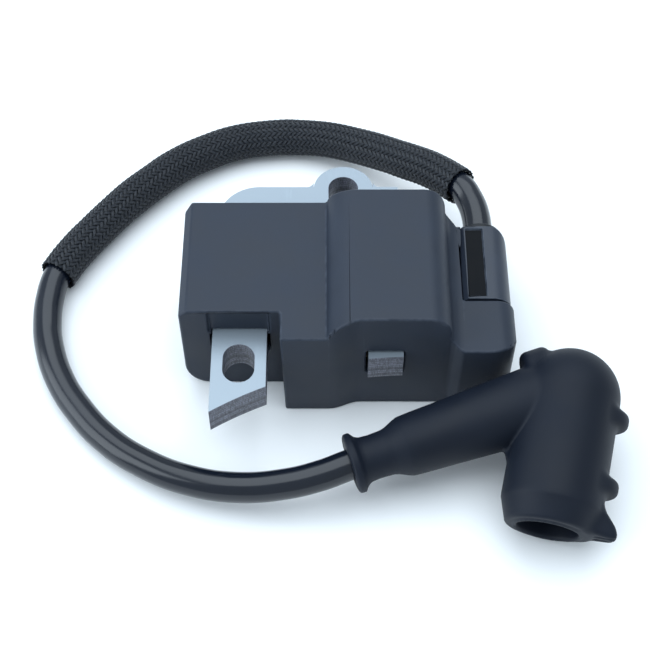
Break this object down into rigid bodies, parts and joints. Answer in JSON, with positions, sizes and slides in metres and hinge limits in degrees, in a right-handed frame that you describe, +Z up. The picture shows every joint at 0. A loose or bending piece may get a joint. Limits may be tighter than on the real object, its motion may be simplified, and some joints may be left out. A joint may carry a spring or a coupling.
{
  "type": "ignition coil",
  "caption": "Potted ignition coil on a laminated two-leg core, with a lead tower, a high-voltage lead in a braided sleeve and an elbow plug boot.",
  "frame": {"origin": "middle of the housing's flat underside", "axes": "+Z up from the underside, -Y towards the flywheel that the poles face, +X towards the lead tower"},
  "size_m": [0.1, 0.09, 0.025],
  "materials": {
    "moulding": "satin moulded plastic with a fine grain",
    "resin": "cast potting resin",
    "core_steel": "brushed sheet steel, varnished between sheets",
    "liner_paper": "insulating paper",
    "bobbin_plastic": "moulded glass-filled plastic",
    "copper_wire": "enamelled copper wire",
    "board": "printed circuit laminate",
    "capacitor_film": "dipped film capacitor",
    "component_black": "moulded component case",
    "terminal_brass": "plain brass",
    "lead_rubber": "smooth glossy lead jacket",
    "braid": "woven glass-fibre sleeve",
    "boot_rubber": "satin moulded rubber",
    "spring_steel": "plated spring wire"
  },
  "bodies": {
    "coil": {"housing": "moulding", "tower_cap": "moulding", "potting_resin": "resin", "lamination_1": "core_steel", "lamination_2": "core_steel", "lamination_3": "core_steel", "lamination_4": "core_steel", "lamination_5": "core_steel", "lamination_6": "core_steel", "lamination_7": "core_steel", "lamination_8": "core_steel", "lamination_9": "core_steel", "lamination_10": "core_steel", "lamination_11": "core_steel", "pole_liner": "liner_paper", "primary_bobbin": "bobbin_plastic", "primary_winding": "copper_wire", "secondary_bobbin": "bobbin_plastic", "secondary_winding": "copper_wire", "charge_bobbin": "bobbin_plastic", "charge_winding": "copper_wire", "trigger_winding": "copper_wire", "circuit_board": "board", "storage_capacitor": "capacitor_film", "thyristor": "component_black", "rectifier_diodes": "component_black", "bias_resistors": "component_black", "earth_tag": "terminal_brass", "ht_link": "terminal_brass", "ht_terminal": "terminal_brass", "lead_seal": "lead_rubber", "lead_insulation": "lead_rubber", "lead_conductor": "copper_wire", "braided_sleeve": "braid"},
    "boot": {"boot": "boot_rubber", "plug_spring": "spring_steel"}
  },
  "joints": [
    {"name": "boot_swivel", "type": "hinge", "parent": "coil", "child": "boot", "pos_m": [0.0002, -0.02925, 0.0085], "axis": [0.9487, 0.2991, 0.1028], "range_deg": [-40, 40]}
  ]
}
